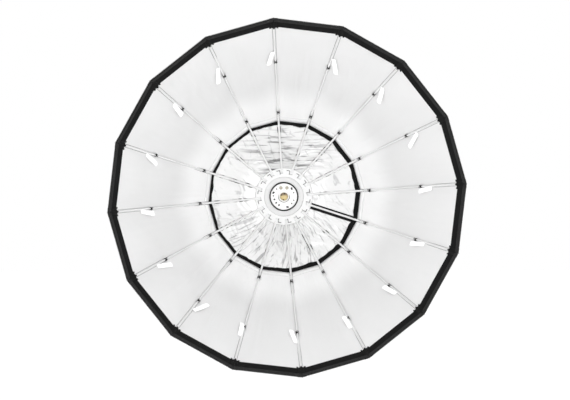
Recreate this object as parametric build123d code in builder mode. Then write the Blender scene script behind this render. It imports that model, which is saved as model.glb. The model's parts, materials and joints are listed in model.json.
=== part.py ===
"""Sixteen-rib parabolic softbox on a tilting lamp head, +Z up, millimetres.

The origin is the mouth of the stand socket. The softbox axis runs along Y and
its open front faces -Y. Every rib-carried piece is made once, on the rib that
points straight up, and then turned about the softbox axis to its own place.
"""
from build123d import *
import math
import os

# ---- driving dimensions -------------------------------------------------
rib_count = 16
rim_radius = 600.0  # front corners, to the rib line
back_ring_radius = 283.0  # where the removable back cloth meets the side panels
bowl_focal_width = 635.0  # profile: radius^2 = bowl_focal_width * (height + vertex_depth)
vertex_depth = 17.0
rest_turn = -4.6  # how the softbox is turned on its lamp head at rest, degrees

axis_height = 162.0  # softbox axis above the stand socket's mouth
hub_y = -110.0  # hub plane, height 0 of the profile
tilt_height = 80.0

fabric_thickness = 1.2
rod_radius = 2.3  # the rib's outer rod
tube_radius = 3.7  # the thicker tube that carries it, next to the hub
tube_end_radius = 300.0
rib_stand_off = 4.8  # rib line in front of the fabric
rib_end_radius = 597.0  # the rod stops just short of the rim, inside its pocket
hinge_radius = 96.5  # where the ribs are hinged in the speed ring, on the bowl's profile
foot_width = 8.0
foot_length = 18.0
foot_eye_radius = 5.0
pin_radius = 2.0
running_gap = 0.1

ring_inner_radius = 76.0
ring_outer_radius = 110.0
ring_back = -14.2
ring_front = 8.0

housing_radius = 62.0
housing_wall = 3.0
housing_front = -14.0  # height of its front face
housing_rear_y = 100.0
socket_radius = 8.1  # for a 16 mm stand spigot
socket_depth = 55.0

pitch = 360.0 / rib_count
half_pitch = math.radians(pitch / 2)
softbox_axis = Axis((0, 0, axis_height), (0, 1, 0))
rib_plane = Plane(origin=(0, hub_y, axis_height), x_dir=(0, 0, 1), z_dir=(1, 0, 0))
gore_normal = (math.cos(half_pitch), 0, -math.sin(half_pitch))
gore_up = (math.sin(half_pitch), 0, math.cos(half_pitch))
gore_plane = Plane(origin=(0, hub_y, axis_height), x_dir=gore_up, z_dir=gore_normal)


# ---- the bowl's profile -------------------------------------------------
def profile(radius, inward=0.0):
    """Point (radius, height) of the bowl at a rib, moved square to it towards the front."""
    height = radius**2 / bowl_focal_width - vertex_depth
    slope = 2 * radius / bowl_focal_width
    length = math.hypot(1, slope)
    return radius - inward * slope / length, height + inward / length


def gore_profile(radius, inward=0.0):
    """The same point on the middle line of a gore, which is nearer to the axis."""
    at_rib = profile(radius, inward)
    return at_rib[0] * math.cos(half_pitch), at_rib[1]


def on_rib(point):
    """A (radius, height) point of the upright rib, in the part's own frame."""
    return Vector(0, hub_y - point[1], axis_height + point[0])


def steps(start, end, count):
    return [start + (end - start) * i / count for i in range(count + 1)]


hinge_point = profile(hinge_radius, rib_stand_off)
foot_end = profile(hinge_radius + foot_length, rib_stand_off)
foot_direction = math.atan2(foot_end[1] - hinge_point[1], foot_end[0] - hinge_point[0])
foot_reach = math.dist(hinge_point, foot_end)


def save(builder, name):
    builder.part.label = name
    export_step(builder.part, f"parts/{name}.step")


def save_around(master, name):
    """Write one turned copy of a rib-carried piece for every rib."""
    for index in range(rib_count):
        with BuildPart() as piece:
            add(master.part.rotate(softbox_axis, rest_turn + index * pitch))
        save(piece, f"{name}_{index + 1:02d}")


os.makedirs("parts", exist_ok=True)


# ---- ribs ---------------------------------------------------------------
def rib_line(radii):
    """Tangent arcs along the rib, from its foot to each radius in turn."""
    arcs = []
    here = on_rib(foot_end)
    heading = on_rib(foot_end) - on_rib(hinge_point)
    for radius in radii:
        arc = TangentArc(here, on_rib(profile(radius, rib_stand_off)), tangent=heading)
        here = arc @ 1
        heading = arc % 1
        arcs.append(arc)
    return arcs


foot_end_plane = Plane(origin=on_rib(foot_end), z_dir=on_rib(foot_end) - on_rib(hinge_point))

with BuildPart() as rib:
    with BuildLine() as rod_line:
        rib_line((200, tube_end_radius, 400, 500, rib_end_radius))
    with BuildSketch(foot_end_plane):
        Circle(rod_radius)
    sweep(path=rod_line.line)
    with BuildLine() as tube_line:
        rib_line((200, tube_end_radius))
    with BuildSketch(foot_end_plane):
        Circle(tube_radius)
    sweep(path=tube_line.line)

with BuildPart() as foot:
    with BuildSketch(rib_plane):
        with Locations(hinge_point):
            Circle(foot_eye_radius)
        with Locations(Location((hinge_point[0], hinge_point[1]), math.degrees(foot_direction))):
            Rectangle(foot_reach, foot_width, align=(Align.MIN, Align.CENTER))
        with Locations(hinge_point):
            Circle(pin_radius + running_gap / 2, mode=Mode.SUBTRACT)
    extrude(amount=foot_width / 2, both=True)

for index in range(rib_count):
    with BuildPart() as piece:
        add(rib.part.rotate(softbox_axis, rest_turn + index * pitch))
        add(foot.part.rotate(softbox_axis, rest_turn + index * pitch))
    save(piece, f"rib_{index + 1:02d}")


# ---- fabric panels, each centred on its rib -----------------------------
def fabric_panel(inner_radius, outer_radius, arcs):
    """Two half gores that meet in a crease at the rib."""
    radii = steps(inner_radius, outer_radius, 2 * arcs)
    with BuildPart() as panel:
        with BuildSketch(gore_plane):
            with BuildLine():
                for side in (0, -fabric_thickness):
                    points = [gore_profile(radius, side) for radius in radii]
                    for i in range(0, 2 * arcs, 2):
                        ThreePointArc(points[i], points[i + 1], points[i + 2])
                for radius in (inner_radius, outer_radius):
                    Line(gore_profile(radius), gore_profile(radius, -fabric_thickness))
            make_face()
        extrude(amount=-outer_radius * math.sin(half_pitch) * 1.2)
        split(bisect_by=rib_plane, keep=Keep.TOP)
        mirror(about=rib_plane)
    return panel


save_around(fabric_panel(back_ring_radius, rim_radius, 3), "side_panel")
save_around(fabric_panel(ring_outer_radius + 3, back_ring_radius, 2), "back_panel")


# ---- speed ring and hinge pins -------------------------------------------
ring_chamfer = 1.2
cheek_thickness = 4.5
pin_inset = 0.5  # each pin's end stays this far inside its cheek
slot_width = foot_width + 0.6
window_size = (19.0, 13.5)
window_radius = 93.5
window_turn = pitch / 2 - 3.0  # the windows sit a little clockwise of the middle between two ribs
window_corner = 1.5
window_floor = ring_front - 2.0
gap_width = 2.4  # a deep gap runs along the outer and the clockwise edge of each window
slot_floor = -8.0  # of the hinge slots and the gaps
slot_inner_radius = hinge_point[0] - foot_eye_radius - 0.4
slot_outer_radius = ring_outer_radius + 10
above_ring = 1.0  # cuts into the ring start this far in front of it

ring_plane = Plane(origin=(0, hub_y, axis_height), x_dir=(0, 0, 1), z_dir=(0, -1, 0))
with BuildPart() as speed_ring:
    with BuildSketch(ring_plane.offset(ring_back)):
        Circle(ring_outer_radius)
        Circle(ring_inner_radius, mode=Mode.SUBTRACT)
    extrude(amount=ring_front - ring_back)
    outer_edges = speed_ring.edges().filter_by(GeomType.CIRCLE).group_by(Axis.Y)[0]
    chamfer(outer_edges, ring_chamfer)
    with BuildSketch(ring_plane.offset(ring_front + above_ring)):
        with PolarLocations((slot_inner_radius + slot_outer_radius) / 2, rib_count):
            Rectangle(slot_outer_radius - slot_inner_radius, slot_width)
    extrude(amount=slot_floor - ring_front - above_ring, mode=Mode.SUBTRACT)
    with BuildSketch(ring_plane.offset(ring_front + above_ring)):
        with PolarLocations(window_radius, rib_count, start_angle=window_turn):
            RectangleRounded(*window_size, window_corner)
    extrude(amount=window_floor - ring_front - above_ring, mode=Mode.SUBTRACT)
    with BuildSketch(ring_plane.offset(ring_front + above_ring)):
        with PolarLocations(window_radius, rib_count, start_angle=window_turn):
            with Locations(((window_size[0] - gap_width) / 2, 0)):
                Rectangle(gap_width, window_size[1])
            with Locations((0, -(window_size[1] - gap_width) / 2)):
                Rectangle(window_size[0] * 0.7, gap_width)
    extrude(amount=slot_floor - ring_front - above_ring, mode=Mode.SUBTRACT)

with BuildPart() as pin:
    with BuildSketch(rib_plane):
        with Locations(hinge_point):
            Circle(pin_radius)
    extrude(amount=slot_width / 2 + cheek_thickness - pin_inset, both=True)

with BuildPart() as turned_ring:
    add(speed_ring.part.rotate(softbox_axis, rest_turn))
    for index in range(rib_count):
        add(pin.part.rotate(softbox_axis, rest_turn + index * pitch), mode=Mode.SUBTRACT)
save(turned_ring, "speed_ring")

with BuildPart() as hinge_pins:
    for index in range(rib_count):
        add(pin.part.rotate(softbox_axis, rest_turn + index * pitch))
save(hinge_pins, "hinge_pins")


# ---- lamp head ------------------------------------------------------------
def turned(points):
    """A solid of revolution about the softbox axis, from (radius, height) corners."""
    with BuildPart() as piece:
        with BuildSketch(rib_plane):
            with BuildLine():
                Polyline(*points, close=True)
            make_face()
        revolve(axis=Axis((0, hub_y, axis_height), (0, 1, 0)))
    return piece


adapter_outer = 75.5  # runs inside the speed ring
adapter_inner = 56.8
flange_radius = 82.0  # hooks behind the speed ring, which turns on it
flange_front = ring_back - 0.3
flange_back = flange_front - 3.0
seat_radius = housing_radius + 0.5  # the flange starts outside the housing's front edge
step_count = 4  # the front steps down towards the lamp
step_width = 4.7
step_drop = 2.0


def adapter_steps():
    """Corners of the stepped front, from the outside in."""
    corners = []
    for step in range(step_count):
        outer = adapter_outer - step * step_width
        inner = max(outer - step_width, adapter_inner)
        height = 2.0 - step * step_drop
        corners += [(outer, height), (inner, height)]
    return corners


adapter_ring = turned([
    (adapter_inner, housing_front), (seat_radius, housing_front), (seat_radius, flange_back),
    (flange_radius, flange_back), (flange_radius, flange_front), (adapter_outer, flange_front),
    *adapter_steps(),
])
save(adapter_ring, "adapter_ring")

bayonet_outer = adapter_inner - 0.3
bayonet_inner = 52.0
bayonet_front = 3.0
bayonet_bevel = 1.5
bayonet_ring = turned([
    (bayonet_inner, housing_front), (bayonet_outer, housing_front),
    (bayonet_outer, bayonet_front - bayonet_bevel), (bayonet_outer - bayonet_bevel, bayonet_front),
    (bayonet_inner + bayonet_bevel, bayonet_front), (bayonet_inner, bayonet_front - bayonet_bevel),
])
save(bayonet_ring, "bayonet_ring")

plate_radius = bayonet_inner - 0.5
plate_front = -11.0
# places of the vents, in degrees clockwise from the top, with their distance from the lamp and size
vent_rows = [
    ((44.5, 161, 290), 43.0, 10.5, 6.5, 60),
    ((210, 231, 253), 38.5, 8.0, 6.0, 0),
    ((68, 111, 132, 274, 316), 40.5, 6.0, 4.4, 0),
]
lamp_collar_radius = 24.0
lamp_collar_wall = 3.0
lamp_collar_height = 3.0
boss_radius = 8.0
boss_place = 35.5
boss_turn = 19.0
boss_height = 5.0
with BuildPart() as lamp_plate:
    with BuildSketch(ring_plane.offset(housing_front)):
        Circle(plate_radius)
        for turns, place, length, width, slant in vent_rows:
            for turn in turns:
                with PolarLocations(place, 1, start_angle=-turn):
                    SlotOverall(length, width, rotation=slant, mode=Mode.SUBTRACT)
    extrude(amount=plate_front - housing_front)
    with BuildSketch(ring_plane.offset(plate_front)):
        Circle(lamp_collar_radius)
        Circle(lamp_collar_radius - lamp_collar_wall, mode=Mode.SUBTRACT)
    extrude(amount=lamp_collar_height)
    with BuildSketch(ring_plane.offset(plate_front)):
        for turn in (-boss_turn, boss_turn):
            with PolarLocations(boss_place, 1, start_angle=turn):
                Circle(boss_radius)
    extrude(amount=boss_height)
save(lamp_plate, "lamp_plate")

bulb_radius = 16.0
bulb_base_radius = 11.0
bulb_base_length = 8.0
bulb_neck = 8.0
with BuildPart() as modelling_lamp:
    with BuildSketch(ring_plane.offset(plate_front)):
        Circle(bulb_base_radius)
    extrude(amount=bulb_base_length)
    with BuildSketch(rib_plane):
        with BuildLine():
            base = plate_front + bulb_base_length
            middle = base + bulb_neck
            on_slope = bulb_radius / math.sqrt(2)
            Line((0, base), (bulb_base_radius, base))
            Line((bulb_base_radius, base), (bulb_radius, middle))
            ThreePointArc((bulb_radius, middle), (on_slope, middle + on_slope), (0, middle + bulb_radius))
            Line((0, middle + bulb_radius), (0, base))
        make_face()
    revolve(axis=Axis((0, hub_y, axis_height), (0, 1, 0)))
save(modelling_lamp, "modelling_lamp")

lug_width = 19.0
lug_radius = 13.0
lug_height = 30.0
bolt_radius = 4.0
lamp_opening_radius = 40.0
inner_radius = housing_radius - housing_wall
with BuildPart() as lamp_housing:
    with BuildSketch(ring_plane.offset(housing_front)):
        Circle(housing_radius)
    extrude(amount=hub_y - housing_front - housing_rear_y)
    with BuildSketch(Plane.YZ):
        with Locations((0, tilt_height)):
            Circle(lug_radius)
            Rectangle(2 * lug_radius, lug_height, align=(Align.CENTER, Align.MIN))
    extrude(amount=lug_width / 2, both=True)
    with BuildSketch(ring_plane.offset(housing_front - housing_wall)):
        Circle(inner_radius)
    extrude(amount=hub_y - housing_front - housing_rear_y, mode=Mode.SUBTRACT)
    with BuildSketch(ring_plane.offset(housing_front)):
        Circle(lamp_opening_radius)
    extrude(amount=-2 * housing_wall, mode=Mode.SUBTRACT)
    with BuildSketch(Plane.YZ):
        with Locations((0, tilt_height)):
            Circle(bolt_radius + running_gap)
    extrude(amount=lug_width, both=True, mode=Mode.SUBTRACT)
save(lamp_housing, "lamp_housing")

cover_thickness = 10.0
cover_recess = 3.0
display_size = (60.0, 34.0)
display_height = 18.0
vent_slot_size = (52.0, 3.0)
vent_slot_height = -28.0
vent_slot_spacing = 7.0

cover_plane = Plane(origin=(0, housing_rear_y, axis_height), x_dir=(1, 0, 0), z_dir=(0, 1, 0))
with BuildPart() as rear_cover:
    with BuildSketch(cover_plane):
        Circle(housing_radius)
    extrude(amount=cover_thickness)
    fillet(rear_cover.edges().group_by(Axis.Y)[-1], 6)
    with BuildSketch(cover_plane.offset(cover_thickness)):
        with Locations((0, -display_height)):
            Rectangle(*display_size)
        with GridLocations(0, vent_slot_spacing, 1, 3):
            with Locations((0, -vent_slot_height)):
                SlotOverall(*vent_slot_size)
    extrude(amount=-cover_recess, mode=Mode.SUBTRACT)
save(rear_cover, "rear_cover")


# ---- stand bracket ----------------------------------------------------------
socket_wall_radius = 17.0
fork_radius = 14.0
cheek_inner = lug_width / 2 + 0.5
cheek_outer = cheek_inner + 8
column_height = 60.0
yoke_bottom = 56.0
yoke_thickness = 8.0
clamp_height = 28.0
clamp_boss_radius = 9.0
clamp_boss_end = socket_wall_radius + 4
screw_radius = 4.0
screw_clearance = 0.3
with BuildPart() as stand_bracket:
    with BuildSketch(Plane.XY):
        Circle(socket_wall_radius)
    extrude(amount=column_height)
    with BuildSketch(Plane.XY.offset(yoke_bottom)):
        RectangleRounded(2 * cheek_outer, 2 * fork_radius, 4)
    extrude(amount=yoke_thickness)
    with BuildSketch(Plane.YZ.offset(cheek_inner)):
        with Locations((0, tilt_height)):
            Circle(fork_radius)
            Rectangle(2 * fork_radius, 20, align=(Align.CENTER, Align.MAX))
    extrude(amount=cheek_outer - cheek_inner)
    mirror(about=Plane.YZ)
    with BuildSketch(Plane.XZ.offset(-clamp_boss_end)):
        with Locations((0, clamp_height)):
            Circle(clamp_boss_radius)
    extrude(amount=8)
    with BuildSketch(Plane.XY):
        Circle(socket_radius)
    extrude(amount=socket_depth, mode=Mode.SUBTRACT)
    with BuildSketch(Plane.XZ.offset(-clamp_boss_end)):
        with Locations((0, clamp_height)):
            Circle(screw_radius + screw_clearance)
    extrude(amount=socket_wall_radius, mode=Mode.SUBTRACT)
    with BuildSketch(Plane.YZ):
        with Locations((0, tilt_height)):
            Circle(bolt_radius + running_gap / 2)
    extrude(amount=cheek_outer + 1, both=True, mode=Mode.SUBTRACT)
save(stand_bracket, "stand_bracket")

bolt_head_height = 6.0
bolt_end = cheek_outer + 14
with BuildPart() as tilt_bolt:
    with BuildSketch(Plane.YZ.offset(-cheek_outer - bolt_head_height)):
        with Locations((0, tilt_height)):
            RegularPolygon(8, 6)
    extrude(amount=bolt_head_height)
    with BuildSketch(Plane.YZ.offset(-cheek_outer)):
        with Locations((0, tilt_height)):
            Circle(bolt_radius)
    extrude(amount=cheek_outer + bolt_end)
save(tilt_bolt, "tilt_bolt")

lever_start = cheek_outer + 0.5
lever_boss_radius = 11.0
lever_boss_length = 16.0
lever_arm_start = lever_start + 7
lever_arm_size = (12.0, 66.0)
with BuildPart() as tilt_lever:
    with BuildSketch(Plane.YZ.offset(lever_start)):
        with Locations((0, tilt_height)):
            Circle(lever_boss_radius)
    extrude(amount=lever_boss_length)
    with BuildSketch(Plane.YZ.offset(lever_arm_start)):
        with Locations((0, tilt_height)):
            Rectangle(*lever_arm_size, align=(Align.CENTER, Align.MAX))
    extrude(amount=8)
    fillet(tilt_lever.edges().filter_by(Axis.X).group_by(Axis.Z)[0], 5)
    with BuildSketch(Plane.YZ.offset(lever_start)):
        with Locations((0, tilt_height)):
            Circle(bolt_radius + running_gap)
    extrude(amount=bolt_end - lever_start + 0.5, mode=Mode.SUBTRACT)
save(tilt_lever, "tilt_lever")

knob_start = clamp_boss_end + 1
knob_radius = 15.0
knob_length = 18.0
screw_tip = socket_radius + 0.6  # the screw stays just outside the socket until it is done up
with BuildPart() as clamp_knob:
    with BuildSketch(Plane.XZ.offset(-screw_tip)):
        with Locations((0, clamp_height)):
            Circle(screw_radius)
    extrude(amount=screw_tip - knob_start)
    with BuildSketch(Plane.XZ.offset(-knob_start)):
        with Locations((0, clamp_height)):
            Circle(knob_radius)
    extrude(amount=-knob_length)
    with BuildSketch(Plane.XZ.offset(-knob_start)):
        with Locations((0, clamp_height)):
            with PolarLocations(knob_radius + 2, 8):
                Circle(4)
    extrude(amount=-knob_length, mode=Mode.SUBTRACT)
save(clamp_knob, "clamp_knob")
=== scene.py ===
"""Sixteen-rib parabolic softbox on its lamp head: cloth, trim, finishes, light and camera."""
import json
import math

import bmesh
import bpy
from mathutils import Matrix, Vector, noise


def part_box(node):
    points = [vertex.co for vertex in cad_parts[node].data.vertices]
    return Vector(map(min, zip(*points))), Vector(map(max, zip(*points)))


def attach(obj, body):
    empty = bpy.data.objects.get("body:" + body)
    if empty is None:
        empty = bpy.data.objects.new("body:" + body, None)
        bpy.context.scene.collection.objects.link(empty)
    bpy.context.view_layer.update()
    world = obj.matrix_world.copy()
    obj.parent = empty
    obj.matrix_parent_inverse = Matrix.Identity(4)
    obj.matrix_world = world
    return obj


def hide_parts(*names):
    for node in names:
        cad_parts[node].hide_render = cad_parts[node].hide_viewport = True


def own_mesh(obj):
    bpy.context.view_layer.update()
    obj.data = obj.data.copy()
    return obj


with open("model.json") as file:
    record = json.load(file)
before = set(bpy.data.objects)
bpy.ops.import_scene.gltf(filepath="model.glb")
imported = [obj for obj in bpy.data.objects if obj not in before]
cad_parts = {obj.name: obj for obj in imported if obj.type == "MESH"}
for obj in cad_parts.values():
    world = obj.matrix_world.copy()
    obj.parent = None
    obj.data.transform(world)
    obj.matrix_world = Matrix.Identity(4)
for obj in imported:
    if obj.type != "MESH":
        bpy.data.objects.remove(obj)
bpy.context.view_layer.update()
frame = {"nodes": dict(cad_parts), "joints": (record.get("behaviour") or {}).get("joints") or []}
joints = {joint["name"]: joint for joint in frame["joints"]}
bpy.ops.object.select_all(action="DESELECT")

# ---- the bowl, in metres ------------------------------------------------------
RIBS = 16
PITCH = 2 * math.pi / RIBS
HALF = PITCH / 2
HUB = Vector(joints["softbox_turn"]["pos_m"])
FIRST = math.atan2(-joints["rib_fold_01"]["axis"][2], joints["rib_fold_01"]["axis"][0])
FORWARD = Vector((0, -1, 0))
BACKWARD = Vector((0, 1, 0))
BOWL_WIDTH = 0.635  # radius^2 = BOWL_WIDTH * (height + VERTEX_DEPTH)
VERTEX_DEPTH = 0.017
RIM = 0.600
BACK_RING = 0.283
CLOTH_START = 0.111
ROD_LIFT = 0.0048
ROD_RADIUS = 0.0023


def turn_of(rib):
    return FIRST + rib * PITCH


def directions(turn):
    """Outward and sideways unit vectors of a rib at this clockwise turn from upright."""
    return Vector((math.sin(turn), 0, math.cos(turn))), Vector((math.cos(turn), 0, -math.sin(turn)))


def bowl_height(radius):
    return radius**2 / BOWL_WIDTH - VERTEX_DEPTH


def arc_length(radius):
    """Length along the profile from the axis, in closed form for a parabola."""
    slope = 2 * radius / BOWL_WIDTH
    return BOWL_WIDTH / 4 * (slope * math.sqrt(1 + slope**2) + math.asinh(slope))


def radius_at(start_radius, distance):
    """Radius reached by walking this far along the profile from start_radius."""
    target = arc_length(start_radius) + distance
    radius = start_radius
    for _ in range(12):
        slope = 2 * radius / BOWL_WIDTH
        radius -= (arc_length(radius) - target) / math.sqrt(1 + slope**2)
    return radius


def surface(turn, radius, across, lift=0.0):
    """A point on the cloth of the rib at this turn. across runs from -1 to 1, from one gore's
    middle line to the next; lift moves it square to the cloth, towards the axis."""
    outward, sideways = directions(turn)
    point = HUB + outward * radius * (1 - abs(across) * math.sin(HALF) ** 2)
    point += sideways * radius * across * math.sin(HALF) * math.cos(HALF)
    point += FORWARD * bowl_height(radius)
    if lift:
        lean = max(-1.0, min(1.0, across * 12)) * HALF
        gore_out = directions(turn + lean)[0]
        slope = 2 * radius / BOWL_WIDTH
        point += (FORWARD - gore_out * slope) / math.sqrt(1 + slope**2) * lift
    return point


# ---- mesh helpers ----------------------------------------------------------------
def grid_piece(name, rows, columns, place, materials):
    """A sheet of quads; place(i, j) gives a point and its cloth coordinates in metres."""
    points, cloth = [], []
    for i in range(rows + 1):
        for j in range(columns + 1):
            point, coordinate = place(i / rows, j / columns)
            points.append(point)
            cloth.append(coordinate)
    wide = columns + 1
    faces = [
        (i * wide + j, i * wide + j + 1, (i + 1) * wide + j + 1, (i + 1) * wide + j)
        for i in range(rows)
        for j in range(columns)
    ]
    mesh = bpy.data.meshes.new(name)
    mesh.from_pydata(points, [], faces)
    layer = mesh.uv_layers.new(name="cloth")
    for loop in mesh.loops:
        layer.data[loop.index].uv = cloth[loop.vertex_index]
    mesh.shade_smooth()
    for material in materials:
        mesh.materials.append(material)
    piece = bpy.data.objects.new(name, mesh)
    bpy.context.collection.objects.link(piece)
    return piece


def apply_modifiers(piece):
    bpy.context.view_layer.objects.active = piece
    for modifier in list(piece.modifiers):
        bpy.ops.object.modifier_apply(modifier=modifier.name)


def sharp_edges(piece, degrees=50):
    """Smooth shading that stops at the piece's real edges, so that panels meet without a line."""
    bpy.ops.object.select_all(action="DESELECT")
    piece.select_set(True)
    bpy.context.view_layer.objects.active = piece
    bpy.ops.object.shade_smooth_by_angle(angle=math.radians(degrees))
    piece.select_set(False)


def thicken(piece, thickness, offset, back_slot=0):
    modifier = piece.modifiers.new("thickness", "SOLIDIFY")
    modifier.thickness = thickness
    modifier.offset = offset
    modifier.material_offset = back_slot
    modifier.use_quality_normals = True
    apply_modifiers(piece)
    sharp_edges(piece)


# ---- materials ---------------------------------------------------------------------
def material_of(name, color, roughness, metallic=0.0, specular=0.5):
    """A plain shader whose constant values stay on its own sockets."""
    material = bpy.data.materials.new(name)
    material.use_nodes = True
    shader = material.node_tree.nodes["Principled BSDF"]
    shader.inputs["Base Color"].default_value = (*color, 1)
    shader.inputs["Roughness"].default_value = roughness
    shader.inputs["Metallic"].default_value = metallic
    shader.inputs["Specular IOR Level"].default_value = specular
    return material


def new_group(name, inputs, outputs):
    """An empty node group with named number inputs and named outputs."""
    group = bpy.data.node_groups.new(name, "ShaderNodeTree")
    for label, default in inputs:
        kind = "NodeSocketVector" if label == "Vector" else "NodeSocketFloat"
        if label.endswith("Color"):
            kind = "NodeSocketColor"
        socket = group.interface.new_socket(name=label, in_out="INPUT", socket_type=kind)
        if label != "Vector":
            socket.default_value = default
    for label, kind in outputs:
        group.interface.new_socket(name=label, in_out="OUTPUT", socket_type=kind)
    return group, group.nodes.new("NodeGroupInput"), group.nodes.new("NodeGroupOutput")


def math_node(tree, operation, first, second=None, clamp=False):
    """A Math node on numbers or sockets; gives its result's socket."""
    node = tree.nodes.new("ShaderNodeMath")
    node.operation = operation
    node.use_clamp = clamp
    for slot, value in ((0, first), (1, second)):
        if value is None:
            continue
        if isinstance(value, (int, float)):
            node.inputs[slot].default_value = value
        else:
            tree.links.new(value, node.inputs[slot])
    return node.outputs[0]


def ramp_between(tree, value, start, end):
    """0 at start, 1 at end, smooth in between."""
    node = tree.nodes.new("ShaderNodeMapRange")
    node.interpolation_type = "SMOOTHSTEP"
    tree.links.new(value, node.inputs["Value"])
    node.inputs["From Min"].default_value = start
    node.inputs["From Max"].default_value = end
    return node.outputs["Result"]


def make_weave_group():
    """Crossed threads: a height that rises over each thread, and a tone that falls between them."""
    group, given, result = new_group(
        "woven_threads",
        [("Vector", None), ("Thread Pitch", 0.001), ("Depth", 0.5), ("Unevenness", 0.3)],
        [("Height", "NodeSocketFloat"), ("Tone", "NodeSocketFloat")],
    )
    parts = group.nodes.new("ShaderNodeSeparateXYZ")
    group.links.new(given.outputs["Vector"], parts.inputs[0])
    turns = math_node(group, "DIVIDE", 2 * math.pi, given.outputs["Thread Pitch"])
    waves = []
    for axis in ("X", "Y"):
        phase = math_node(group, "MULTIPLY", parts.outputs[axis], turns)
        waves.append(math_node(group, "SINE", phase))
    crossing = math_node(group, "MULTIPLY", waves[0], waves[1])
    grain = group.nodes.new("ShaderNodeTexNoise")
    group.links.new(given.outputs["Vector"], grain.inputs["Vector"])
    grain.inputs["Scale"].default_value = 260
    grain.inputs["Detail"].default_value = 3
    uneven = math_node(group, "MULTIPLY", grain.outputs["Fac"], given.outputs["Unevenness"])
    raised = math_node(group, "MULTIPLY", crossing, given.outputs["Depth"])
    height = math_node(group, "ADD", raised, uneven)
    group.links.new(height, result.inputs["Height"])
    tone = math_node(group, "ADD", math_node(group, "MULTIPLY", height, 0.25), 0.85, clamp=True)
    group.links.new(tone, result.inputs["Tone"])
    return group


def make_tone_group():
    """Slow variation of colour and roughness over a surface, with a little dust."""
    group, given, result = new_group(
        "surface_variation",
        [("Vector", None), ("Base Color", (0.8, 0.8, 0.8, 1)), ("Second Color", (0.7, 0.7, 0.7, 1)),
         ("Patch Scale", 8), ("Dust", 0.1), ("Roughness", 0.5), ("Roughness Spread", 0.1)],
        [("Color", "NodeSocketColor"), ("Roughness", "NodeSocketFloat"), ("Height", "NodeSocketFloat")],
    )
    patches = group.nodes.new("ShaderNodeTexNoise")
    group.links.new(given.outputs["Vector"], patches.inputs["Vector"])
    group.links.new(given.outputs["Patch Scale"], patches.inputs["Scale"])
    patches.inputs["Detail"].default_value = 4
    specks = group.nodes.new("ShaderNodeTexNoise")
    group.links.new(given.outputs["Vector"], specks.inputs["Vector"])
    specks.inputs["Scale"].default_value = 900
    specks.inputs["Detail"].default_value = 2
    dust = math_node(group, "SUBTRACT", specks.outputs["Fac"], 0.55, True)
    dust = math_node(group, "MULTIPLY", dust, 4, True)
    dust = math_node(group, "MULTIPLY", dust, given.outputs["Dust"], True)
    blend = group.nodes.new("ShaderNodeMix")
    blend.data_type = "RGBA"
    group.links.new(patches.outputs["Fac"], blend.inputs["Factor"])
    group.links.new(given.outputs["Base Color"], blend.inputs["A"])
    group.links.new(given.outputs["Second Color"], blend.inputs["B"])
    dusty = group.nodes.new("ShaderNodeMix")
    dusty.data_type = "RGBA"
    group.links.new(dust, dusty.inputs["Factor"])
    group.links.new(blend.outputs["Result"], dusty.inputs["A"])
    dusty.inputs["B"].default_value = (0.42, 0.41, 0.39, 1)
    group.links.new(dusty.outputs["Result"], result.inputs["Color"])
    drift = math_node(group, "SUBTRACT", patches.outputs["Fac"], 0.5)
    drift = math_node(group, "MULTIPLY", drift, given.outputs["Roughness Spread"])
    roughness = math_node(group, "ADD", drift, given.outputs["Roughness"], True)
    group.links.new(roughness, result.inputs["Roughness"])
    group.links.new(specks.outputs["Fac"], result.inputs["Height"])
    return group


def make_crease_group():
    """Sharp little folds, as in thin metallised film that has been crumpled and smoothed out."""
    group, given, result = new_group(
        "film_creases",
        [("Vector", None), ("Crease Scale", 40), ("Distortion", 0.6)],
        [("Height", "NodeSocketFloat")],
    )
    bend = group.nodes.new("ShaderNodeTexNoise")
    group.links.new(given.outputs["Vector"], bend.inputs["Vector"])
    bend.inputs["Scale"].default_value = 12
    bend.inputs["Detail"].default_value = 2
    shift = group.nodes.new("ShaderNodeVectorMath")
    shift.operation = "SCALE"
    group.links.new(bend.outputs["Color"], shift.inputs[0])
    group.links.new(math_node(group, "MULTIPLY", given.outputs["Distortion"], 0.05), shift.inputs["Scale"])
    moved = group.nodes.new("ShaderNodeVectorMath")
    moved.operation = "ADD"
    group.links.new(given.outputs["Vector"], moved.inputs[0])
    group.links.new(shift.outputs[0], moved.inputs[1])
    heights = []
    for factor, weight in ((1.0, 1.0), (2.7, 0.4)):
        cells = group.nodes.new("ShaderNodeTexVoronoi")
        cells.feature = "F1"
        cells.distance = "MANHATTAN"
        group.links.new(moved.outputs[0], cells.inputs["Vector"])
        scale = math_node(group, "MULTIPLY", given.outputs["Crease Scale"], factor)
        group.links.new(scale, cells.inputs["Scale"])
        heights.append(math_node(group, "MULTIPLY", cells.outputs["Distance"], weight))
    group.links.new(math_node(group, "ADD", heights[0], heights[1]), result.inputs["Height"])
    return group


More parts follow.
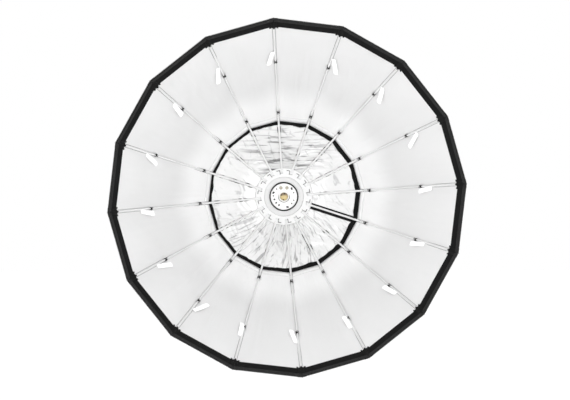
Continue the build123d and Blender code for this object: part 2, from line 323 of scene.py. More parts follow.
def make_streak_group(centre):
    """Painted shade where the film's folds turn away from the light: level ones above the centre, spokes
    below.
    """
    group, given, result = new_group(
        "painted_fold_shade",
        [("Vector", None), ("Level", 0.8), ("Spokes", 0.4), ("Slanting", 0.2)],
        [("Shade", "NodeSocketFloat")],
    )
    from_centre = group.nodes.new("ShaderNodeVectorMath")
    from_centre.operation = "SUBTRACT"
    group.links.new(given.outputs["Vector"], from_centre.inputs[0])
    from_centre.inputs[1].default_value = centre
    parts = group.nodes.new("ShaderNodeSeparateXYZ")
    group.links.new(from_centre.outputs[0], parts.inputs[0])
    x, z = parts.outputs["X"], parts.outputs["Z"]

    def times(first, second):
        return math_node(group, "MULTIPLY", first, second)

    def added(first, second):
        return math_node(group, "ADD", first, second)

    def streaks(across, along, seed, start, end):
        place = group.nodes.new("ShaderNodeCombineXYZ")
        group.links.new(across, place.inputs[0])
        group.links.new(along, place.inputs[1])
        place.inputs[2].default_value = seed
        folds = group.nodes.new("ShaderNodeTexNoise")
        folds.inputs["Scale"].default_value = 1
        folds.inputs["Detail"].default_value = 3
        folds.inputs["Roughness"].default_value = 0.55
        folds.inputs["Distortion"].default_value = 0.7
        group.links.new(place.outputs[0], folds.inputs["Vector"])
        return ramp_between(group, folds.outputs["Fac"], start, end)

    distance = math_node(group, "SQRT", added(times(x, x), times(z, z)))
    upward = math_node(group, "DIVIDE", z, distance)
    angle = math_node(group, "ARCTAN2", x, times(z, -1))
    level = streaks(times(x, 8.5), times(z, 105), 3, 0.51, 0.61)
    spokes = streaks(times(added(angle, times(distance, 1.3)), 24), times(distance, 15), 7, 0.53, 0.64)
    slanting = streaks(added(times(x, 34), times(z, 26)), added(times(z, 15), times(x, -12)), 5, 0.57, 0.67)
    level = times(level, ramp_between(group, upward, 0.45, 0.97))
    level = times(level, ramp_between(group, distance, 0.32, 0.17))
    spokes = times(spokes, ramp_between(group, upward, 0.0, -0.85))
    shade = added(times(level, given.outputs["Level"]), times(spokes, given.outputs["Spokes"]))
    slanting = times(slanting, given.outputs["Slanting"])
    shade = math_node(group, "ADD", shade, slanting, True)
    group.links.new(shade, result.inputs["Shade"])
    return group


WEAVE = make_weave_group()
TONE = make_tone_group()
CREASES = make_crease_group()
STREAKS = make_streak_group(HUB)


def coordinates(tree, kind):
    """Object coordinates, or the piece's own cloth map in metres."""
    if kind == "cloth":
        node = tree.nodes.new("ShaderNodeUVMap")
        node.uv_map = "cloth"
        return node.outputs["UV"]
    return tree.nodes.new("ShaderNodeTexCoord").outputs["Object"]


def use_group(tree, group, vector, **values):
    node = tree.nodes.new("ShaderNodeGroup")
    node.node_tree = group
    tree.links.new(vector, node.inputs["Vector"])
    for label, value in values.items():
        node.inputs[label.replace("_", " ")].default_value = value
    return node


def bump(tree, height, strength, distance, normal=None):
    node = tree.nodes.new("ShaderNodeBump")
    node.inputs["Strength"].default_value = strength
    node.inputs["Distance"].default_value = distance
    tree.links.new(height, node.inputs["Height"])
    if normal:
        tree.links.new(normal, node.inputs["Normal"])
    return node.outputs["Normal"]


def finish(name, color, second, roughness, metallic=0.0, specular=0.5, patch=8, dust=0.05, spread=0.1,
           grain=0.05, grain_depth=0.0001, weave=None, creases=None, kind="object", sheen=0.0):
    """A full finish: varied colour and roughness, grain, and where asked a weave or film creases."""
    material = material_of(name, color, roughness, metallic, specular)
    tree = material.node_tree
    shader = tree.nodes["Principled BSDF"]
    shader.inputs["Sheen Weight"].default_value = sheen
    vector = coordinates(tree, kind)
    tone = use_group(tree, TONE, vector, Base_Color=(*color, 1), Second_Color=(*second, 1),
                     Patch_Scale=patch, Dust=dust, Roughness=roughness, Roughness_Spread=spread)
    tree.links.new(tone.outputs["Color"], shader.inputs["Base Color"])
    tree.links.new(tone.outputs["Roughness"], shader.inputs["Roughness"])
    normal = bump(tree, tone.outputs["Height"], grain, grain_depth)
    if weave:
        pitch, depth, strength = weave
        threads = use_group(tree, WEAVE, vector, Thread_Pitch=pitch, Depth=depth)
        normal = bump(tree, threads.outputs["Height"], strength, pitch * 0.3, normal)
    if creases:
        scale, strength, distance = creases
        folds = use_group(tree, CREASES, vector, Crease_Scale=scale)
        normal = bump(tree, folds.outputs["Height"], strength, distance, normal)
    tree.links.new(normal, shader.inputs["Normal"])
    return material


def grey(value):
    return (value, value, value)


silver_lining = finish("silver_lining", grey(0.98), grey(0.94), 0.33, 0.55, patch=5, dust=0.02, spread=0.1,
                       weave=(0.0016, 0.5, 0.12), kind="cloth")
crinkled_silver = finish("crinkled_silver", grey(0.98), grey(0.96), 0.2, 0.5, patch=9, dust=0.01, spread=0.08,
                         weave=(0.0012, 0.4, 0.03), creases=(38, 0.05, 0.0010), kind="cloth")
black_shell = finish("black_shell", grey(0.010), grey(0.014), 0.5, specular=0.25, patch=14, dust=0.02,
                     weave=(0.0018, 0.8, 0.5), kind="cloth", sheen=0.02)
black_loop = finish("black_loop", grey(0.006), grey(0.009), 0.95, specular=0.08, patch=60, dust=0.012,
                    grain=0.9, grain_depth=0.0008, kind="cloth", sheen=0.01)
hem_binding = finish("hem_binding", grey(0.012), grey(0.017), 0.7, specular=0.15, patch=40, dust=0.02,
                     weave=(0.0022, 0.9, 0.7), kind="cloth", sheen=0.02)
welt_thread = finish("welt_thread", grey(0.82), grey(0.74), 0.6, patch=60, weave=(0.002, 0.9, 0.6),
                     kind="cloth")
pocket_cloth = finish("pocket_cloth", grey(0.008), grey(0.012), 0.8, specular=0.12, patch=50, dust=0.015,
                      weave=(0.0026, 0.9, 0.8), kind="cloth")
ribbed_loop = finish("ribbed_loop", grey(0.012), grey(0.02), 0.85, specular=0.1, patch=60,
                     weave=(0.0035, 1.0, 1.0), kind="cloth")
tie_cord = finish("tie_cord", grey(0.004), grey(0.006), 0.6, specular=0.1, patch=300, grain=0.8,
                  grain_depth=0.0003)
# painted shadow: dark grey for the gap beside each rod
rod_gap_shadow = finish("rod_gap_shadow", grey(0.24), grey(0.36), 0.7, patch=120, weave=(0.003, 0.9, 0.8),
                     kind="cloth")
white_cloth = finish("white_cloth", grey(0.93), grey(0.88), 0.7, specular=0.2, patch=60, dust=0.01,
                     weave=(0.0014, 0.8, 0.3), kind="cloth", sheen=0.1)
rib_enamel = finish("rib_enamel", grey(0.70), grey(0.66), 0.3, patch=30, dust=0.02)
ring_enamel = finish("ring_enamel", grey(0.74), grey(0.70), 0.38, patch=25, dust=0.02, grain=0.15)
lamp_white = finish("lamp_white", grey(0.96), grey(0.93), 0.45, patch=25, dust=0.02, grain=0.1)
turned_metal = finish("turned_metal", grey(0.70), grey(0.67), 0.35, 0.1, patch=30, dust=0.02)
black_enamel = finish("black_enamel", grey(0.012), grey(0.018), 0.4, specular=0.3, patch=40)
lamp_glass = finish("lamp_glass", (0.66, 0.54, 0.29), (0.52, 0.40, 0.2), 0.25, patch=60)
sensor_glass = finish("sensor_glass", (0.48, 0.45, 0.38), (0.38, 0.36, 0.30), 0.15, patch=120)
collar_gap_shade = finish("collar_gap_shade", grey(0.05), grey(0.04), 0.6, patch=60)
display_glass = finish("display_glass", grey(0.012), grey(0.02), 0.08, patch=30, dust=0.03, grain=0.0)
housing_paint = finish("housing_paint", grey(0.022), grey(0.03), 0.45, patch=20, grain=0.5,
                       grain_depth=0.0004)
moulded_black = finish("moulded_black", grey(0.016), grey(0.022), 0.5, patch=20, grain=0.4,
                       grain_depth=0.0003)
pin_steel = finish("pin_steel", grey(0.6), grey(0.5), 0.3, 1.0, patch=80)
floor_white = finish("floor_white", grey(0.97), grey(0.96), 0.9, specular=0.0, patch=1, dust=0)
floor_shader = floor_white.node_tree.nodes["Principled BSDF"]
floor_shader.inputs["Emission Color"].default_value = (1, 1, 1, 1)
floor_shader.inputs["Emission Strength"].default_value = 0.16


def color_where(material, share, color):
    """Turn the finish towards this colour by a share from 0 to 1."""
    tree = material.node_tree
    shader = tree.nodes["Principled BSDF"]
    blend = tree.nodes.new("ShaderNodeMix")
    blend.data_type = "RGBA"
    tree.links.new(share, blend.inputs["Factor"])
    tree.links.new(shader.inputs["Base Color"].links[0].from_socket, blend.inputs["A"])
    blend.inputs["B"].default_value = (*color, 1)
    tree.links.new(blend.outputs["Result"], shader.inputs["Base Color"])


def color_along(material, axis, start, end, color):
    """Turn the finish towards this colour from one place on an axis to another."""
    tree = material.node_tree
    place = tree.nodes.new("ShaderNodeSeparateXYZ")
    tree.links.new(coordinates(tree, "object"), place.inputs[0])
    color_where(material, ramp_between(tree, place.outputs[axis], start, end), color)


# painted shade in these finishes: darker with depth inside slots and vents, on the lamp glass's top, on the
# collar-gap ring's lower side, on the lining away from the back ring, and along the film's folds
SLOT_SHADE = grey(0.02)  # painted shade inside slots and vents, darker with depth
RING_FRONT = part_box("speed_ring")[0][1]
PLATE_FRONT = HUB.y + 0.011
# painted shade: the ring's slots and the plate's vents go near black past their fronts
color_along(ring_enamel, "Y", RING_FRONT + 0.0024, RING_FRONT + 0.005, SLOT_SHADE)
color_along(lamp_white, "Y", PLATE_FRONT + 0.0006, PLATE_FRONT + 0.002, SLOT_SHADE)
# painted shade: the top of the lamp glass turns dark brown
color_along(lamp_glass, "Z", HUB.z + 0.001, HUB.z + 0.009, (0.27, 0.20, 0.13))
# painted shade: the collar-gap ring turns near white towards its top, so its dark shows on the lower side
# only
color_along(collar_gap_shade, "Z", HUB.z - 0.004, HUB.z + 0.014, grey(0.85))
# painted shade: the lining turns grey away from the back ring towards the rim
color_along(silver_lining, "Y", HUB.y - 0.16, HUB.y - 0.27, grey(0.80))
# painted shade: the crinkled film turns dark grey along its folds
folds = use_group(crinkled_silver.node_tree, STREAKS, coordinates(crinkled_silver.node_tree, "object"),
                  Level=0.95, Spokes=0.6, Slanting=0.36)
color_where(crinkled_silver, folds.outputs["Shade"], grey(0.25))

CAD_FINISH = {
    "speed_ring": ring_enamel, "hinge_pins": pin_steel, "adapter_ring": turned_metal,
    "bayonet_ring": black_enamel, "lamp_plate": lamp_white, "modelling_lamp": lamp_glass,
    "lamp_housing": housing_paint, "rear_cover": moulded_black, "stand_bracket": housing_paint,
    "tilt_bolt": pin_steel, "tilt_lever": moulded_black, "clamp_knob": moulded_black,
}
for rib in range(RIBS):
    CAD_FINISH[f"rib_{rib + 1:02d}"] = rib_enamel
for node, material in CAD_FINISH.items():
    mesh = frame["nodes"][node].data
    mesh.materials.clear()
    mesh.materials.append(material)


# ---- cloth ----------------------------------------------------------------------------
SIDE_BOW = 0.009
SHELL = 0.0011
RIM_TRIM = 0.052  # the lining lies flat under the trim, this far from the rim


def follow(piece, rib):
    """The piece rides on its rib, with a mesh of its own."""
    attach(piece, f"rib_{rib + 1:02d}")
    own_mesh(piece)


def flat_width(radius):
    """Width of one rib's cloth at this radius, from one gore's middle line to the next."""
    return 2 * radius * math.sin(HALF)


def lining_ripple(point):
    """Slack in the stretched lining: slow waves, and fine puckers that run along the bowl."""
    slow = noise.noise(point * 9) * 0.0016 + noise.noise(point * 26) * 0.0006
    turn = math.atan2(point.x - HUB.x, point.z - HUB.z)
    depth = (HUB - point).y
    pucker = noise.noise(Vector((turn * 34, depth * 5, 2))) * 0.0007
    return slow + pucker


SIDE_LENGTH = arc_length(RIM) - arc_length(BACK_RING)


def lining_lift(turn, radius, across, distance):
    """How far the stretched lining is pulled in between its ribs, this far out from the back ring."""
    free = min(1.0, max(0.0, distance / (SIDE_LENGTH - RIM_TRIM)))
    bow = SIDE_BOW * math.sin(math.pi * free) ** 0.8 * (2 * abs(across) - across**2)
    hold = min(1.0, abs(across) * 5) * min(1.0, 12 * max(0.0, distance) / SIDE_LENGTH, 12 * (1 - free))
    return bow + lining_ripple(surface(turn, radius, across)) * hold


def side_lining(rib):
    """Silver lining and black outer cloth from the back ring to the rim, centred on one rib."""
    turn = turn_of(rib)

    def place(i, j):
        distance = i * SIDE_LENGTH
        radius = radius_at(BACK_RING, distance)
        across = 2 * j - 1
        lift = lining_lift(turn, radius, across, distance)
        return surface(turn, radius, across, lift), (across * flat_width(radius) / 2, distance)

    piece = grid_piece(f"side_lining_{rib + 1:02d}", 64, 40, place, [silver_lining, black_shell])
    thicken(piece, SHELL, -1, 1)
    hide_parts(f"side_panel_{rib + 1:02d}")
    follow(piece, rib)


def back_cloth(rib):
    """Crinkled cloth from the hub to the back ring, centred on one rib."""
    turn = turn_of(rib)
    length = arc_length(BACK_RING) - arc_length(CLOTH_START)

    def place(i, j):
        radius = radius_at(CLOTH_START, i * length)
        across = 2 * j - 1
        point = surface(turn, radius, across)
        flat = point - HUB
        hold = min(1.0, 8 * i, 8 * (1 - i))
        lift = crinkle(flat.x, flat.z) * hold
        return surface(turn, radius, across, lift), (flat.x, flat.z)

    piece = grid_piece(f"back_cloth_{rib + 1:02d}", 84, 48, place, [crinkled_silver, black_shell])
    thicken(piece, 0.0006, -1, 1)
    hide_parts(f"back_panel_{rib + 1:02d}")
    follow(piece, rib)


def ridged(value):
    """Turns a smooth wave into a crease with a sharp top."""
    return 1 - 2 * abs(value)


def crinkle(x, z):
    """How far the crinkled cloth stands out at a place seen from the front, in metres."""
    angle = math.atan2(x, z)
    distance = math.hypot(x, z)
    top = max(0.0, math.cos(angle * 0.8)) ** 3
    bottom = max(0.0, -math.cos(angle + 0.25)) ** 1.2
    inner = 1.2 - 0.8 * min(1.0, distance / BACK_RING)
    warp = noise.noise(Vector((x * 13, z * 13, 3)))
    level = ridged(noise.noise(Vector((x * 13 + z * 6, z * 70 + warp * 3.0, 0))))
    spoke = ridged(noise.noise(Vector((angle * 11 + warp * 1.6 + distance * 22, distance * 7, 8))))
    slant = ridged(noise.noise(Vector((x * 34 + z * 30 + warp * 2, z * 12 - x * 10, 5))))
    fine = noise.noise(Vector((x * 90, z * 90, 9)))
    return (
        0.0030 * top * inner * level
        + 0.0026 * bottom * spoke
        + 0.0010 * (1 - top) * slant
        + 0.00012 * fine
        - 0.0020
    )


for rib in range(RIBS):
    side_lining(rib)
    back_cloth(rib)


# ---- bands at the rim and round the back cloth -------------------------------------------
def band(name, rib, from_base, width, lift, thickness, material, base=RIM, columns=24, rows=4,
         waver=0.0, on_lining=False):
    """A flat strip across one rib's cloth that starts this far inside base, along the cloth, and
    goes on inwards for its width."""
    turn = turn_of(rib)
    outer = arc_length(base) - from_base

    def place(i, j):
        across = 2 * j - 1
        radius = radius_at(base, -from_base - i * width)
        point = surface(turn, radius, across)
        edge = noise.noise(point * 45) * waver * i
        radius = radius_at(base, -from_base - i * width + edge)
        height = lift
        if on_lining:
            height += lining_lift(turn, radius, across, -from_base - i * width)
        return surface(turn, radius, across, height), (across * flat_width(radius) / 2, outer - i * width)

    piece = grid_piece(f"{name}_{rib + 1:02d}", rows, columns, place, [material])
    thicken(piece, thickness, -1)
    follow(piece, rib)


RIM_HEM = 0.0095
RIM_BAND = 0.0345
RING_BAND = 0.0165
RING_BAND_SWING = 0.28  # the ring band is this much wider on one side and narrower on the other
RING_BAND_WIDEST = math.radians(100)
WELT_PLACE = 0.029
WELT_WIDTH = 0.0016
FACING_REACH = 0.128  # on the outside, from the back ring towards the rim
FACING_WIDTH = 0.136
COLLAR_REACH = 0.026
COLLAR_WIDTH = 0.024

for rib in range(RIBS):
    band("rim_band", rib, RIM_HEM - 0.001, RIM_BAND, 0.0016, 0.0018, black_loop)
    band("rim_hem", rib, -0.002, RIM_HEM + 0.002, 0.0030, 0.0055, hem_binding)
    ring_width = RING_BAND * (1 + RING_BAND_SWING * math.cos(turn_of(rib) - RING_BAND_WIDEST))
    band("ring_band", rib, -0.0075, ring_width, 0.0030, 0.0012, black_loop,
         base=BACK_RING, waver=0.004)
    band("ring_welt", rib, -WELT_PLACE, WELT_WIDTH, 0.0012, 0.0012, welt_thread,
         base=BACK_RING, rows=1, on_lining=True)
    band("outer_facing", rib, -FACING_REACH, FACING_WIDTH, -SHELL - 0.0003, 0.0008, black_shell,
         base=BACK_RING, rows=16, on_lining=True)
    band("seam_collar", rib, -COLLAR_REACH, COLLAR_WIDTH, -0.0050, 0.0016, hem_binding,
         base=CLOTH_START)


# ---- pockets, bindings, closures and painted rod shadows that lie along a rib -----------------
def strip_along_rib(name, rib, start, end, low_side, high_side, lift, thickness, material,
                    rows=24, columns=6, fray=None):
    """A strip between two distances from the rib line, from radius start to radius end."""
    turn = turn_of(rib)
    length = arc_length(end) - arc_length(start)

    def place(i, j):
        side = low_side + (high_side - low_side) * j
        stretch = fray(j) * (1 - i) if fray else 0.0
        distance = i * length - stretch
        radius = radius_at(start, distance)
        across = side / (radius * math.sin(HALF) * math.cos(HALF))
        height = lift(side, distance, length) if callable(lift) else lift
        return surface(turn, radius, across, height), (side, distance)

    piece = grid_piece(f"{name}_{rib + 1:02d}", rows, columns, place, [material])
    thicken(piece, thickness, -1)
    follow(piece, rib)


POCKET_WIDTH = 0.032
POCKET_START = radius_at(RIM, -(RIM_HEM + RIM_BAND + 0.002))
POCKET_END = radius_at(RIM, 0.0025)
POCKET_FLAT = 0.0032
ROD_COVER = ROD_LIFT + ROD_RADIUS + 0.0022


def pocket_lift(side, distance, length):
    """Flat at its sides, raised over the rod, and closed down past the rod's tip."""
    over_rod = math.exp(-((side / 0.0062) ** 2))
    closed = min(1.0, max(0.0, (length - distance) / 0.007))
    return POCKET_FLAT + (ROD_COVER - POCKET_FLAT) * over_rod * closed * (2 - closed)


def pocket_fray(share):
    """Three cut ends of the binding that stand past the band's inner edge."""
    return 0.0042 if share < 0.2 or 0.42 < share < 0.58 or share > 0.82 else 0.0


BINDING_WIDTH = 0.012


def binding_lift(side, distance, length):
    """Outside the cloth, and rounded over the rib."""
    return -0.0012 - 0.0012 * math.cos(math.pi * side / BINDING_WIDTH)


SLIT_RIB = 5
SLIT_START = CLOTH_START + 0.002
SLIT_END = BACK_RING - 0.002
ROD_SHADOW_OFFSET = 0.0052
ROD_SHADOW_WIDTH = 0.0014
for rib in range(RIBS):
    # painted shadow: a dark strip on each side of the rib, where the rod's gap shades the lining
    for side, label in ((-1, "left"), (1, "right")):
        middle = side * ROD_SHADOW_OFFSET
        strip_along_rib(f"seam_stitch_{label}", rib, BACK_RING + 0.004, POCKET_START,
                        middle - ROD_SHADOW_WIDTH / 2, middle + ROD_SHADOW_WIDTH / 2, 0.0007, 0.0006,
                        rod_gap_shadow, 60, 1)
    strip_along_rib("rib_pocket", rib, POCKET_START, POCKET_END, -POCKET_WIDTH / 2, POCKET_WIDTH / 2,
                    pocket_lift, 0.0014, pocket_cloth, 26, 26, pocket_fray)
    strip_along_rib("seam_binding", rib, CLOTH_START + 0.002, RIM - 0.001, -BINDING_WIDTH / 2,
                    BINDING_WIDTH / 2, binding_lift, 0.0008, hem_binding, 60, 6)
strip_along_rib("slit_hook", SLIT_RIB, SLIT_START, SLIT_END, -0.0098, -0.0042, 0.0020, 0.0012,
                black_loop, 30, 4)
strip_along_rib("slit_loop", SLIT_RIB, SLIT_START, SLIT_END, 0.0034, 0.0140, 0.0022, 0.0014,
                ribbed_loop, 30, 4)


# ---- ties and tabs ---------------------------------------------------------------------------------
def rib_frame(turn, radius, lift):
    """Axes on a rib: X sideways, Y outwards along the rib, Z square to the cloth."""
    outward, sideways = directions(turn)
    slope = 2 * radius / BOWL_WIDTH
    along = (outward + FORWARD * slope).normalized()
    up = sideways.cross(along)
    if up.dot(FORWARD) < 0:
        up = -up
    side = along.cross(up)
    origin = surface(turn, radius, 0) + (FORWARD - outward * slope).normalized() * lift
    return Matrix.Translation(origin) @ Matrix((side, along, up)).transposed().to_4x4()


def joined(parts, name):
    """One piece from several, with its place in its mesh."""
    bpy.ops.object.select_all(action="DESELECT")
    for part in parts:
        part.select_set(True)
    bpy.context.view_layer.objects.active = parts[0]
    bpy.ops.object.join()
    bpy.ops.object.transform_apply(location=True, rotation=True, scale=True)
    piece = bpy.context.object
    piece.name = name
    piece.data.name = name
    piece.select_set(False)
    return piece


def tie_master():
    """A turn of black cord round the rod, its knot, and two small loops."""
    bpy.ops.mesh.primitive_torus_add(major_radius=ROD_RADIUS + 0.0011, minor_radius=0.0012,
                                     major_segments=20, minor_segments=8, rotation=(math.pi / 2, 0, 0))
    first = bpy.context.object
    bpy.ops.mesh.primitive_torus_add(major_radius=ROD_RADIUS + 0.0011, minor_radius=0.0011,
                                     major_segments=20, minor_segments=8, location=(0, 0.0021, 0),
                                     rotation=(math.pi / 2 + 0.15, 0, 0))
    second = bpy.context.object
    bpy.ops.mesh.primitive_uv_sphere_add(segments=14, ring_count=8, radius=0.0033,
                                         location=(0.0008, 0.001, ROD_RADIUS + 0.0018))
    knot = bpy.context.object
    knot.scale = (1.15, 0.85, 0.7)
    loops = []
    for side in (-1, 1):
        place = (side * 0.0034, -0.0050, ROD_RADIUS + 0.0008)
        bpy.ops.mesh.primitive_torus_add(major_radius=0.0036, minor_radius=0.0008, major_segments=18,
                                         minor_segments=6, location=place,
                                         rotation=(0.35, side * 0.5, 0))
        loop = bpy.context.object
        loop.scale = (0.6, 1.35, 1)
        loops.append(loop)
    piece = joined([first, second, knot, *loops], "tie_master")
    piece.data.materials.append(tie_cord)
    bpy.ops.object.select_all(action="DESELECT")
    piece.select_set(True)
    bpy.ops.object.shade_smooth()
    piece.select_set(False)
    return piece


def copy_to(master, name, matrix):
    """A copy of a piece with its own mesh, moved by this matrix in its mesh."""
    piece = master.copy()
    piece.data = master.data.copy()
    piece.name = name
    piece.data.name = name
    bpy.context.collection.objects.link(piece)
    piece.data.transform(matrix)
    return piece


TIE_RADII = (0.320, 0.4835)
TIE_TWISTS = (0.3, -0.4, 0.15, -0.2, 0.5, 0.1, -0.35, 0.25)
tie = tie_master()
for rib in range(RIBS):
    for row, radius in enumerate(TIE_RADII):
        twist = TIE_TWISTS[(rib * 3 + row * 5) % len(TIE_TWISTS)]
        matrix = rib_frame(turn_of(rib), radius + 0.004 * twist, ROD_LIFT) @ Matrix.Rotation(twist, 4, "Y")
        piece = copy_to(tie, f"rib_tie_{'inner' if row == 0 else 'outer'}_{rib + 1:02d}", matrix)
        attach(piece, f"rib_{rib + 1:02d}")
bpy.data.objects.remove(tie)

# swing of each tab from the rib line, in degrees, towards the next rib clockwise
TAB_SWINGS = (-19, 29, 28, 37, 10, 14, 12, 5, 16, 4, -31, -22, -14, -24, -12, -26)
TAB_WIDTH = 0.017
TAB_LENGTH = 0.056
TAB_RADIUS = 0.512


def cloth_tab(rib):
    """A loose white tab, sewn into the seam at one end, that curls off the lining."""
    turn = turn_of(rib)
    swing = math.radians(TAB_SWINGS[rib])
    side_sign = 1 if swing > 0 else -1
    curl = 0.006 + 0.006 * abs(math.sin(rib * 2.4))

    def place(i, j):
        along = i * TAB_LENGTH
        wide = (j - 0.5) * TAB_WIDTH
        side = side_sign * 0.0075 + along * math.sin(swing) + wide * math.cos(swing)
        distance = -along * math.cos(swing) + wide * math.sin(swing)
        radius = radius_at(TAB_RADIUS, distance)
        across = side / (radius * math.sin(HALF) * math.cos(HALF))
        lift = 0.0022 + SIDE_BOW * abs(across) * 1.2 + curl * i**1.6 + 0.0016 * math.sin(j * math.pi) * i
        return surface(turn, radius, across, lift), (wide, along)

    piece = grid_piece(f"cloth_tab_{rib + 1:02d}", 14, 6, place, [white_cloth])
    thicken(piece, 0.0006, 0)
    follow(piece, rib)


for rib in range(RIBS):
    cloth_tab(rib)


# ---- lamp head details ---------------------------------------------------------------------
def finished(piece, name, material, bevel=0.0, segments=2):
    """Bevel a shaped primitive's sharp edges, give it its finish and put its place in its mesh."""
    bpy.ops.object.select_all(action="DESELECT")
    piece.select_set(True)
    bpy.context.view_layer.objects.active = piece
    bpy.ops.object.transform_apply(location=True, rotation=True, scale=True)
    if bevel:
        modifier = piece.modifiers.new("bevel", "BEVEL")
        modifier.width = bevel
        modifier.segments = segments
        modifier.limit_method = "ANGLE"
        modifier.angle_limit = math.radians(40)
        apply_modifiers(piece)
    piece.name = name
    piece.data.name = name
    piece.data.materials.clear()
    piece.data.materials.append(material)
    sharp_edges(piece, 40)
    return piece


def cap_faces(direction, limit=0.9):
    """In edit mode, select only the faces that look in this direction."""
    mesh = bmesh.from_edit_mesh(bpy.context.object.data)
    for face in mesh.faces:
        face.select = face.normal.dot(direction) > limit
    bmesh.update_edit_mesh(bpy.context.object.data)


def disc_along_y(radius, front, back, x, z, vertices=40):
    """A round slab on an axis along Y, centred on x and z."""
    bpy.ops.mesh.primitive_cylinder_add(vertices=vertices, radius=radius, depth=back - front,
                                        location=(x, (front + back) / 2, z), rotation=(math.pi / 2, 0, 0))
    bpy.ops.object.transform_apply(location=True, rotation=True, scale=True)
    return bpy.context.object


def dish(piece, direction, inset, drop):
    """Inset the face that looks in this direction and push it in, leaving a raised lip."""
    bpy.ops.object.mode_set(mode="EDIT")
    bpy.ops.mesh.select_mode(type="FACE")
    bpy.ops.mesh.select_all(action="DESELECT")
    cap_faces(direction)
    bpy.ops.mesh.inset(thickness=inset)
    bpy.ops.transform.translate(value=tuple(-direction * drop))
    bpy.ops.object.mode_set(mode="OBJECT")
    return piece


def washer(radius, width, front, back):
    """A flat ring on the softbox axis: a disc with both its faces cut through and joined."""
    piece = disc_along_y(radius, front, back, HUB.x, HUB.z, 96)
    bpy.ops.object.mode_set(mode="EDIT")
    bpy.ops.mesh.select_mode(type="FACE")
    for direction in (FORWARD, BACKWARD):
        bpy.ops.mesh.select_all(action="DESELECT")
        cap_faces(direction)
        bpy.ops.mesh.inset(thickness=width)
        bpy.ops.mesh.delete(type="FACE")
    bpy.ops.mesh.select_mode(type="EDGE")
    bpy.ops.mesh.select_all(action="DESELECT")
    bpy.ops.mesh.select_non_manifold()
    bpy.ops.mesh.bridge_edge_loops()
    bpy.ops.mesh.select_all(action="SELECT")
    bpy.ops.mesh.normals_make_consistent(inside=False)
    bpy.ops.object.mode_set(mode="OBJECT")
    return piece


def on_head(piece):
    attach(piece, "head")


BOSS_FRONT = HUB.y + 0.006
BOSS_PLACE = 0.0355
BOSS_TURN = math.radians(19)
LENS_RADIUS = 0.0068
LENS_THICKNESS = 0.0016

for side, label in ((-1, "left"), (1, "right")):
    x = HUB.x + side * BOSS_PLACE * math.sin(BOSS_TURN)
    z = HUB.z + BOSS_PLACE * math.cos(BOSS_TURN)
    cap = disc_along_y(LENS_RADIUS, BOSS_FRONT - LENS_THICKNESS, BOSS_FRONT, x, z)
    dish(cap, FORWARD, 0.0012, 0.0008)
    on_head(finished(cap, f"sensor_lens_{label}", sensor_glass, 0.0003))

BULB_RADIUS = 0.016
BULB_MIDDLE = HUB.y - 0.005
POST_RADIUS = 0.0027
POST_PLACES = ((0.0010, 0.0115), (-0.0095, 0.0062), (-0.0028, -0.0125))  # from the lamp's axis
for number, (x, z) in enumerate(POST_PLACES):
    # the posts stand out of the lamp's cap
    front = BULB_MIDDLE - math.sqrt(BULB_RADIUS**2 - x**2 - z**2) - 0.0003
    post = disc_along_y(POST_RADIUS, front - 0.0036, front + 0.006, HUB.x + x, HUB.z + z, 20)
    on_head(finished(post, f"filament_post_{number + 1}", black_enamel, 0.0004))

# a dark ring painted as the shadow in the gap round the lamp collar
COLLAR_FRONT = HUB.y + 0.008
COLLAR_SHADE_RADIUS = 0.0231
COLLAR_SHADE_WIDTH = 0.0022
collar_shade_piece = washer(COLLAR_SHADE_RADIUS, COLLAR_SHADE_WIDTH, COLLAR_FRONT - 0.0006, COLLAR_FRONT + 0.0004)
on_head(finished(collar_shade_piece, "collar_shade_ring", collar_gap_shade, 0.0002))

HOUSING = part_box("lamp_housing")
HOUSING_RADIUS = 0.062
FIN_COUNT = 9
FIN_START = HOUSING[0][1] + 0.034
FIN_SPACING = 0.0105
FIN_HEIGHT = 0.0035
FIN_WIDTH = 0.0042
FIN_THICKNESS = 0.0045
for number in range(FIN_COUNT):
    front = FIN_START + number * FIN_SPACING
    fin = washer(HOUSING_RADIUS + FIN_HEIGHT, FIN_WIDTH, front, front + FIN_THICKNESS)
    on_head(finished(fin, f"cooling_fin_{number + 1}", housing_paint, 0.0008))

COVER_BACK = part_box("rear_cover")[1][1]
SCREW_COUNT = 6
SCREW_CIRCLE = 0.050
SCREW_RADIUS = 0.0034
for number in range(SCREW_COUNT):
    angle = math.radians(30 + number * 360 / SCREW_COUNT)
    x = HUB.x + SCREW_CIRCLE * math.sin(angle)
    z = HUB.z + SCREW_CIRCLE * math.cos(angle)
    screw = disc_along_y(SCREW_RADIUS, COVER_BACK - 0.0002, COVER_BACK + 0.0016, x, z, 28)
    dish(screw, BACKWARD, 0.0016, 0.0012)
    on_head(finished(screw, f"cover_screw_{number + 1}", pin_steel, 0.0004))

DISPLAY_SIZE = (0.0592, 0.0022, 0.0332)
DISPLAY_RISE = 0.018
bpy.ops.mesh.primitive_cube_add(size=1, location=(HUB.x, COVER_BACK - 0.0022, HUB.z + DISPLAY_RISE))
bpy.context.object.scale = DISPLAY_SIZE
bpy.ops.object.transform_apply(location=False, rotation=False, scale=True)
display = dish(bpy.context.object, BACKWARD, 0.0022, 0.0005)
on_head(finished(display, "display_window", display_glass, 0.0004))


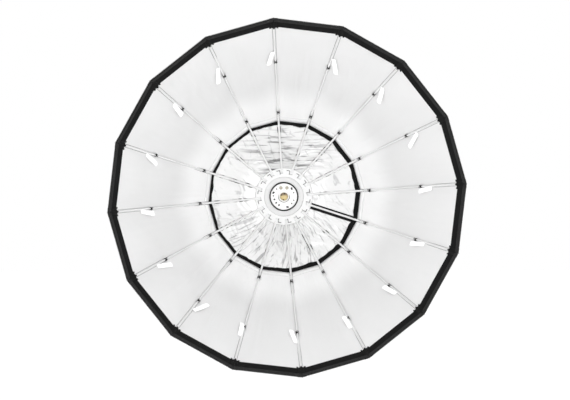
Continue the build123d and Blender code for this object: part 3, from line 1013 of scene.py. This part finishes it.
# ---- stage, light and camera ---------------------------------------------------------------
FRONT = HUB + FORWARD * bowl_height(RIM)
CAMERA_DISTANCE = 3.293
SENSOR_WIDTH = 36
VIEW_WIDTH = 1.8947  # how much of the front's plane the view takes in from side to side
AIM_OFFSET = Vector((-0.00931, 0, -0.00632))  # the camera aims this far from the front's centre
azimuth, elevation = math.radians(-1.55), math.radians(0.62)
toward_camera = Vector((
    math.sin(azimuth) * math.cos(elevation),
    -math.cos(azimuth) * math.cos(elevation),
    math.sin(elevation),
))
aim = FRONT + AIM_OFFSET
camera_data = bpy.data.cameras.new("camera")
camera = bpy.data.objects.new("camera", camera_data)
bpy.context.collection.objects.link(camera)
camera_data.sensor_width = SENSOR_WIDTH
camera_data.lens = SENSOR_WIDTH * CAMERA_DISTANCE / VIEW_WIDTH
camera.location = FRONT + toward_camera * CAMERA_DISTANCE
camera.rotation_euler = (aim - camera.location).to_track_quat("-Z", "Y").to_euler()
bpy.context.scene.camera = camera
bpy.context.scene.view_settings.view_transform = "Standard"

ROOM_LEVEL = 1.0
DARK_SIDES = (0.55, 0.25)
DARK_AHEAD = (0.25, 0.6)
DARK_DEPTH = 0.72
DARK_CORE = (0.9, 0.985)
CORE_DEPTH = 0.35


def studio_world():
    """White at the sides, with an unlit stretch from floor to ceiling behind the camera; the
    backdrop itself stays white."""
    world = bpy.data.worlds.new("studio")
    world.use_nodes = True
    tree = world.node_tree
    room = tree.nodes["Background"]
    place = tree.nodes.new("ShaderNodeTexCoord")
    parts = tree.nodes.new("ShaderNodeSeparateXYZ")
    tree.links.new(place.outputs["Generated"], parts.inputs[0])
    sideways = math_node(tree, "ABSOLUTE", parts.outputs["X"])
    ahead = math_node(tree, "MULTIPLY", parts.outputs["Y"], -1.0)
    between_sides = ramp_between(tree, sideways, *DARK_SIDES)
    dark = math_node(tree, "MULTIPLY", between_sides, ramp_between(tree, ahead, *DARK_AHEAD))
    core = ramp_between(tree, ahead, *DARK_CORE)
    light = math_node(tree, "SUBTRACT", ROOM_LEVEL, math_node(tree, "MULTIPLY", dark, DARK_DEPTH))
    light = math_node(tree, "SUBTRACT", light, math_node(tree, "MULTIPLY", core, CORE_DEPTH), True)
    tree.links.new(light, room.inputs["Strength"])
    room.inputs["Color"].default_value = (1, 1, 1, 1)
    backdrop = tree.nodes.new("ShaderNodeBackground")
    backdrop.inputs["Color"].default_value = (1, 1, 1, 1)
    seen = tree.nodes.new("ShaderNodeLightPath")
    choose = tree.nodes.new("ShaderNodeMixShader")
    tree.links.new(seen.outputs["Is Camera Ray"], choose.inputs[0])
    tree.links.new(room.outputs[0], choose.inputs[1])
    tree.links.new(backdrop.outputs[0], choose.inputs[2])
    tree.links.new(choose.outputs[0], tree.nodes["World Output"].inputs["Surface"])
    bpy.context.scene.world = world


studio_world()

bpy.ops.mesh.primitive_plane_add(size=30, location=(0, 0, -1.4))
floor = bpy.context.object
floor.name = "floor"
floor.data.materials.append(floor_white)
floor.visible_glossy = False  # the bowl mirrors the dark studio, not the floor


def area_light(name, place, target, size, power):
    """A round light that shines on the cloth but isn't mirrored in it."""
    data = bpy.data.lights.new(name, "AREA")
    data.shape = "DISK"
    data.size = size
    data.energy = power
    lamp = bpy.data.objects.new(name, data)
    bpy.context.collection.objects.link(lamp)
    lamp.location = place
    lamp.rotation_euler = (Vector(target) - Vector(place)).to_track_quat("-Z", "Y").to_euler()
    lamp.visible_glossy = False


area_light("right_light", (2.5, -2.6, 0.8), FRONT, 3.0, 22)
area_light("left_light", (-2.4, -2.8, 0.8), FRONT, 3.0, 21)
area_light("front_fill", (0.0, -3.4, 0.4), HUB, 1.6, 68)

bpy.context.view_layer.update()
